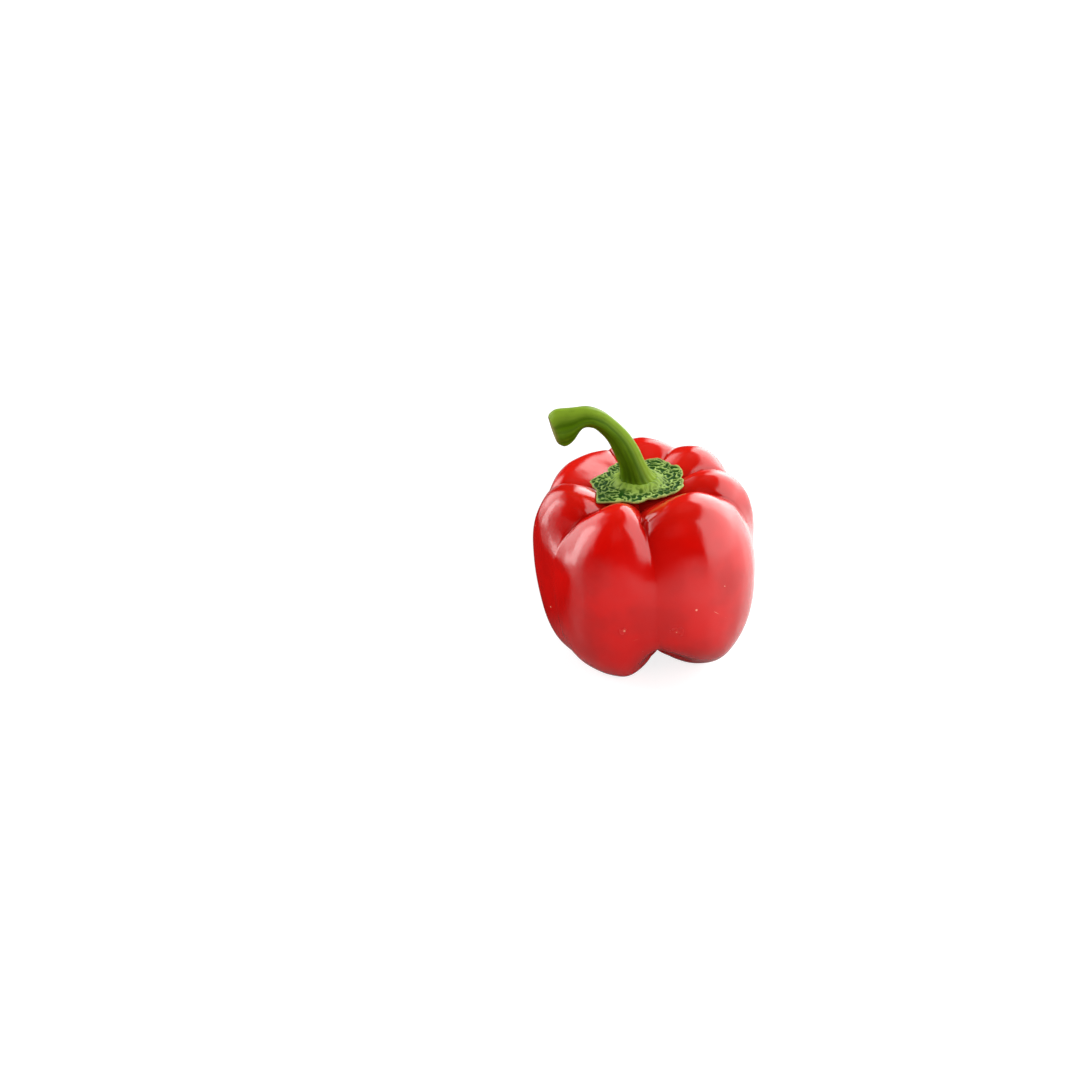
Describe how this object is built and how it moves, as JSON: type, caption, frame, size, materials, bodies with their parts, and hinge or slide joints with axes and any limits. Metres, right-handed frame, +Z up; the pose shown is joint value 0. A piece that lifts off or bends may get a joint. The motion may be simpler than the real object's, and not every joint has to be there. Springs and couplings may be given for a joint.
{
  "type": "bell pepper",
  "caption": "Whole bell pepper: a blocky, lobed fruit on its own feet, with a ridged calyx cap in its hollow top and a hooked cut stem.",
  "frame": {"origin": "on the surface that the pepper stands on, under the middle of its box", "axes": "+Z up through the calyx; the stem's hook points to -X; +Y is the back"},
  "size_m": [0.0838, 0.0812, 0.1016],
  "materials": {
    "skin": "waxy ripe red skin, glossy",
    "calyx_green": "reticulated green, pale ridges over dark pits",
    "stem_green": "ribbed yellow-green, semi-matt, with a dried pale cut end"
  },
  "bodies": {
    "root": {"fruit": "skin", "calyx": "calyx_green", "stem": "stem_green"}
  },
  "joints": []
}
